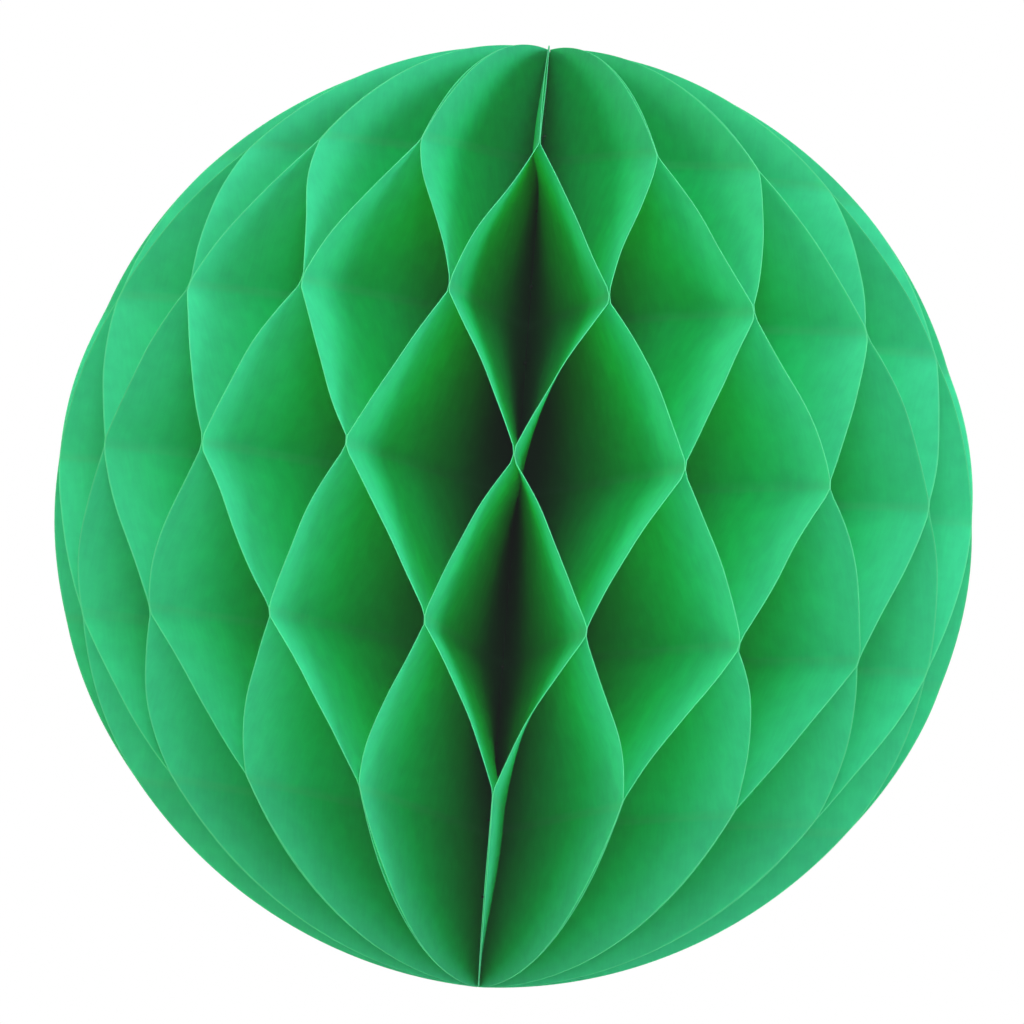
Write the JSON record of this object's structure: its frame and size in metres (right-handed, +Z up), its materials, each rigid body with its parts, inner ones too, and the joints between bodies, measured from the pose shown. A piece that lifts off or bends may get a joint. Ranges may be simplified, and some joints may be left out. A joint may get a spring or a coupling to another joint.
{
  "type": "paper honeycomb ball",
  "caption": "Green tissue-paper honeycomb ball: leaves glued along staggered lines and sewn at a spine, fanned out between card covers that meet at the back.",
  "frame": {"origin": "centre of the opened ball, on the axis of the sewn spine", "axes": "+Z up the spine to the end it hangs from; -Y to the front, where a glued pair of leaves faces the viewer; +Y to the back, where the covers meet"},
  "size_m": [0.1486, 0.1498, 0.1538],
  "materials": {
    "tissue": "matt, thin and translucent, dyed in the pulp",
    "cover_paper": "matt, dyed in the pulp",
    "card": "uncoated grey-white card",
    "adhesive_tape": "translucent double-sided tape",
    "thread": "twisted cotton thread"
  },
  "bodies": {
    "cover_a": {"cover_card_a": "card", "cover_paper_a": "cover_paper", "tape_strip_upper": "adhesive_tape", "tape_strip_lower": "adhesive_tape", "spine_thread": "thread", "top_knot": "thread", "bottom_knot": "thread"},
    "leaf_01": {"leaf_01": "tissue"},
    "leaf_02": {"leaf_02": "tissue"},
    "leaf_03": {"leaf_03": "tissue"},
    "leaf_04": {"leaf_04": "tissue"},
    "leaf_05": {"leaf_05": "tissue"},
    "leaf_06": {"leaf_06": "tissue"},
    "leaf_07": {"leaf_07": "tissue"},
    "leaf_08": {"leaf_08": "tissue"},
    "leaf_09": {"leaf_09": "tissue"},
    "leaf_10": {"leaf_10": "tissue"},
    "leaf_11": {"leaf_11": "tissue"},
    "leaf_12": {"leaf_12": "tissue"},
    "leaf_13": {"leaf_13": "tissue"},
    "leaf_14": {"leaf_14": "tissue"},
    "leaf_15": {"leaf_15": "tissue"},
    "leaf_16": {"leaf_16": "tissue"},
    "leaf_17": {"leaf_17": "tissue"},
    "leaf_18": {"leaf_18": "tissue"},
    "leaf_19": {"leaf_19": "tissue"},
    "leaf_20": {"leaf_20": "tissue"},
    "leaf_21": {"leaf_21": "tissue"},
    "leaf_22": {"leaf_22": "tissue"},
    "leaf_23": {"leaf_23": "tissue"},
    "leaf_24": {"leaf_24": "tissue"},
    "leaf_25": {"leaf_25": "tissue"},
    "leaf_26": {"leaf_26": "tissue"},
    "leaf_27": {"leaf_27": "tissue"},
    "leaf_28": {"leaf_28": "tissue"},
    "leaf_29": {"leaf_29": "tissue"},
    "leaf_30": {"leaf_30": "tissue"},
    "leaf_31": {"leaf_31": "tissue"},
    "leaf_32": {"leaf_32": "tissue"},
    "leaf_33": {"leaf_33": "tissue"},
    "leaf_34": {"leaf_34": "tissue"},
    "leaf_35": {"leaf_35": "tissue"},
    "leaf_36": {"leaf_36": "tissue"},
    "cover_b": {"cover_card_b": "card", "cover_paper_b": "cover_paper"}
  },
  "joints": [
    {"name": "fold", "type": "hinge", "parent": "cover_a", "child": "cover_b", "pos_m": [0, 0, 0], "axis": [0, 0, -1], "range_deg": [0, 352]},
    {"name": "leaf_01_fan", "type": "hinge", "parent": "cover_a", "child": "leaf_01", "pos_m": [0, 0, 0], "axis": [0, 0, -1], "range_deg": [0, 2.08], "deforming": ["leaf_01"]},
    {"name": "leaf_02_fan", "type": "hinge", "parent": "cover_a", "child": "leaf_02", "pos_m": [0, 0, 0], "axis": [0, 0, -1], "range_deg": [0, 12.02], "deforming": ["leaf_02"]},
    {"name": "leaf_03_fan", "type": "hinge", "parent": "cover_a", "child": "leaf_03", "pos_m": [0, 0, 0], "axis": [0, 0, -1], "range_deg": [0, 21.96], "deforming": ["leaf_03"]},
    {"name": "leaf_04_fan", "type": "hinge", "parent": "cover_a", "child": "leaf_04", "pos_m": [0, 0, 0], "axis": [0, 0, -1], "range_deg": [0, 31.9], "deforming": ["leaf_04"]},
    {"name": "leaf_05_fan", "type": "hinge", "parent": "cover_a", "child": "leaf_05", "pos_m": [0, 0, 0], "axis": [0, 0, -1], "range_deg": [0, 41.84], "deforming": ["leaf_05"]},
    {"name": "leaf_06_fan", "type": "hinge", "parent": "cover_a", "child": "leaf_06", "pos_m": [0, 0, 0], "axis": [0, 0, -1], "range_deg": [0, 51.78], "deforming": ["leaf_06"]},
    {"name": "leaf_07_fan", "type": "hinge", "parent": "cover_a", "child": "leaf_07", "pos_m": [0, 0, 0], "axis": [0, 0, -1], "range_deg": [0, 61.72], "deforming": ["leaf_07"]},
    {"name": "leaf_08_fan", "type": "hinge", "parent": "cover_a", "child": "leaf_08", "pos_m": [0, 0, 0], "axis": [0, 0, -1], "range_deg": [0, 71.66], "deforming": ["leaf_08"]},
    {"name": "leaf_09_fan", "type": "hinge", "parent": "cover_a", "child": "leaf_09", "pos_m": [0, 0, 0], "axis": [0, 0, -1], "range_deg": [0, 81.6], "deforming": ["leaf_09"]},
    {"name": "leaf_10_fan", "type": "hinge", "parent": "cover_a", "child": "leaf_10", "pos_m": [0, 0, 0], "axis": [0, 0, -1], "range_deg": [0, 91.53], "deforming": ["leaf_10"]},
    {"name": "leaf_11_fan", "type": "hinge", "parent": "cover_a", "child": "leaf_11", "pos_m": [0, 0, 0], "axis": [0, 0, -1], "range_deg": [0, 101.47], "deforming": ["leaf_11"]},
    {"name": "leaf_12_fan", "type": "hinge", "parent": "cover_a", "child": "leaf_12", "pos_m": [0, 0, 0], "axis": [0, 0, -1], "range_deg": [0, 111.41], "deforming": ["leaf_12"]},
    {"name": "leaf_13_fan", "type": "hinge", "parent": "cover_a", "child": "leaf_13", "pos_m": [0, 0, 0], "axis": [0, 0, -1], "range_deg": [0, 121.35], "deforming": ["leaf_13"]},
    {"name": "leaf_14_fan", "type": "hinge", "parent": "cover_a", "child": "leaf_14", "pos_m": [0, 0, 0], "axis": [0, 0, -1], "range_deg": [0, 131.29], "deforming": ["leaf_14"]},
    {"name": "leaf_15_fan", "type": "hinge", "parent": "cover_a", "child": "leaf_15", "pos_m": [0, 0, 0], "axis": [0, 0, -1], "range_deg": [0, 141.23], "deforming": ["leaf_15"]},
    {"name": "leaf_16_fan", "type": "hinge", "parent": "cover_a", "child": "leaf_16", "pos_m": [0, 0, 0], "axis": [0, 0, -1], "range_deg": [0, 151.17], "deforming": ["leaf_16"]},
    {"name": "leaf_17_fan", "type": "hinge", "parent": "cover_a", "child": "leaf_17", "pos_m": [0, 0, 0], "axis": [0, 0, -1], "range_deg": [0, 161.11], "deforming": ["leaf_17"]},
    {"name": "leaf_18_fan", "type": "hinge", "parent": "cover_a", "child": "leaf_18", "pos_m": [0, 0, 0], "axis": [0, 0, -1], "range_deg": [0, 171.05], "deforming": ["leaf_18"]},
    {"name": "leaf_19_fan", "type": "hinge", "parent": "cover_a", "child": "leaf_19", "pos_m": [0, 0, 0], "axis": [0, 0, -1], "range_deg": [0, 180.98], "deforming": ["leaf_19"]},
    {"name": "leaf_20_fan", "type": "hinge", "parent": "cover_a", "child": "leaf_20", "pos_m": [0, 0, 0], "axis": [0, 0, -1], "range_deg": [0, 190.92], "deforming": ["leaf_20"]},
    {"name": "leaf_21_fan", "type": "hinge", "parent": "cover_a", "child": "leaf_21", "pos_m": [0, 0, 0], "axis": [0, 0, -1], "range_deg": [0, 200.86], "deforming": ["leaf_21"]},
    {"name": "leaf_22_fan", "type": "hinge", "parent": "cover_a", "child": "leaf_22", "pos_m": [0, 0, 0], "axis": [0, 0, -1], "range_deg": [0, 210.8], "deforming": ["leaf_22"]},
    {"name": "leaf_23_fan", "type": "hinge", "parent": "cover_a", "child": "leaf_23", "pos_m": [0, 0, 0], "axis": [0, 0, -1], "range_deg": [0, 220.74], "deforming": ["leaf_23"]},
    {"name": "leaf_24_fan", "type": "hinge", "parent": "cover_a", "child": "leaf_24", "pos_m": [0, 0, 0], "axis": [0, 0, -1], "range_deg": [0, 230.68], "deforming": ["leaf_24"]},
    {"name": "leaf_25_fan", "type": "hinge", "parent": "cover_a", "child": "leaf_25", "pos_m": [0, 0, 0], "axis": [0, 0, -1], "range_deg": [0, 240.62], "deforming": ["leaf_25"]},
    {"name": "leaf_26_fan", "type": "hinge", "parent": "cover_a", "child": "leaf_26", "pos_m": [0, 0, 0], "axis": [0, 0, -1], "range_deg": [0, 250.56], "deforming": ["leaf_26"]},
    {"name": "leaf_27_fan", "type": "hinge", "parent": "cover_a", "child": "leaf_27", "pos_m": [0, 0, 0], "axis": [0, 0, -1], "range_deg": [0, 260.5], "deforming": ["leaf_27"]},
    {"name": "leaf_28_fan", "type": "hinge", "parent": "cover_a", "child": "leaf_28", "pos_m": [0, 0, 0], "axis": [0, 0, -1], "range_deg": [0, 270.43], "deforming": ["leaf_28"]},
    {"name": "leaf_29_fan", "type": "hinge", "parent": "cover_a", "child": "leaf_29", "pos_m": [0, 0, 0], "axis": [0, 0, -1], "range_deg": [0, 280.37], "deforming": ["leaf_29"]},
    {"name": "leaf_30_fan", "type": "hinge", "parent": "cover_a", "child": "leaf_30", "pos_m": [0, 0, 0], "axis": [0, 0, -1], "range_deg": [0, 290.31], "deforming": ["leaf_30"]},
    {"name": "leaf_31_fan", "type": "hinge", "parent": "cover_a", "child": "leaf_31", "pos_m": [0, 0, 0], "axis": [0, 0, -1], "range_deg": [0, 300.25], "deforming": ["leaf_31"]},
    {"name": "leaf_32_fan", "type": "hinge", "parent": "cover_a", "child": "leaf_32", "pos_m": [0, 0, 0], "axis": [0, 0, -1], "range_deg": [0, 310.19], "deforming": ["leaf_32"]},
    {"name": "leaf_33_fan", "type": "hinge", "parent": "cover_a", "child": "leaf_33", "pos_m": [0, 0, 0], "axis": [0, 0, -1], "range_deg": [0, 320.13], "deforming": ["leaf_33"]},
    {"name": "leaf_34_fan", "type": "hinge", "parent": "cover_a", "child": "leaf_34", "pos_m": [0, 0, 0], "axis": [0, 0, -1], "range_deg": [0, 330.07], "deforming": ["leaf_34"]},
    {"name": "leaf_35_fan", "type": "hinge", "parent": "cover_a", "child": "leaf_35", "pos_m": [0, 0, 0], "axis": [0, 0, -1], "range_deg": [0, 340.01], "deforming": ["leaf_35"]},
    {"name": "leaf_36_fan", "type": "hinge", "parent": "cover_a", "child": "leaf_36", "pos_m": [0, 0, 0], "axis": [0, 0, -1], "range_deg": [0, 349.95], "deforming": ["leaf_36"]}
  ],
  "couplings": [
    {"joint": "leaf_01_fan", "follows": "fold", "ratio": 0.005879},
    {"joint": "leaf_02_fan", "follows": "fold", "ratio": 0.034115},
    {"joint": "leaf_03_fan", "follows": "fold", "ratio": 0.06235},
    {"joint": "leaf_04_fan", "follows": "fold", "ratio": 0.090586},
    {"joint": "leaf_05_fan", "follows": "fold", "ratio": 0.11882},
    {"joint": "leaf_06_fan", "follows": "fold", "ratio": 0.14706},
    {"joint": "leaf_07_fan", "follows": "fold", "ratio": 0.17529},
    {"joint": "leaf_08_fan", "follows": "fold", "ratio": 0.20353},
    {"joint": "leaf_09_fan", "follows": "fold", "ratio": 0.23176},
    {"joint": "leaf_10_fan", "follows": "fold", "ratio": 0.26},
    {"joint": "leaf_11_fan", "follows": "fold", "ratio": 0.28823},
    {"joint": "leaf_12_fan", "follows": "fold", "ratio": 0.31647},
    {"joint": "leaf_13_fan", "follows": "fold", "ratio": 0.3447},
    {"joint": "leaf_14_fan", "follows": "fold", "ratio": 0.37294},
    {"joint": "leaf_15_fan", "follows": "fold", "ratio": 0.40118},
    {"joint": "leaf_16_fan", "follows": "fold", "ratio": 0.42941},
    {"joint": "leaf_17_fan", "follows": "fold", "ratio": 0.45765},
    {"joint": "leaf_18_fan", "follows": "fold", "ratio": 0.48588},
    {"joint": "leaf_19_fan", "follows": "fold", "ratio": 0.51412},
    {"joint": "leaf_20_fan", "follows": "fold", "ratio": 0.54235},
    {"joint": "leaf_21_fan", "follows": "fold", "ratio": 0.57059},
    {"joint": "leaf_22_fan", "follows": "fold", "ratio": 0.59882},
    {"joint": "leaf_23_fan", "follows": "fold", "ratio": 0.62706},
    {"joint": "leaf_24_fan", "follows": "fold", "ratio": 0.65529},
    {"joint": "leaf_25_fan", "follows": "fold", "ratio": 0.68353},
    {"joint": "leaf_26_fan", "follows": "fold", "ratio": 0.71177},
    {"joint": "leaf_27_fan", "follows": "fold", "ratio": 0.74},
    {"joint": "leaf_28_fan", "follows": "fold", "ratio": 0.76824},
    {"joint": "leaf_29_fan", "follows": "fold", "ratio": 0.79647},
    {"joint": "leaf_30_fan", "follows": "fold", "ratio": 0.82471},
    {"joint": "leaf_31_fan", "follows": "fold", "ratio": 0.85294},
    {"joint": "leaf_32_fan", "follows": "fold", "ratio": 0.88118},
    {"joint": "leaf_33_fan", "follows": "fold", "ratio": 0.90941},
    {"joint": "leaf_34_fan", "follows": "fold", "ratio": 0.93765},
    {"joint": "leaf_35_fan", "follows": "fold", "ratio": 0.96588},
    {"joint": "leaf_36_fan", "follows": "fold", "ratio": 0.99412}
  ]
}
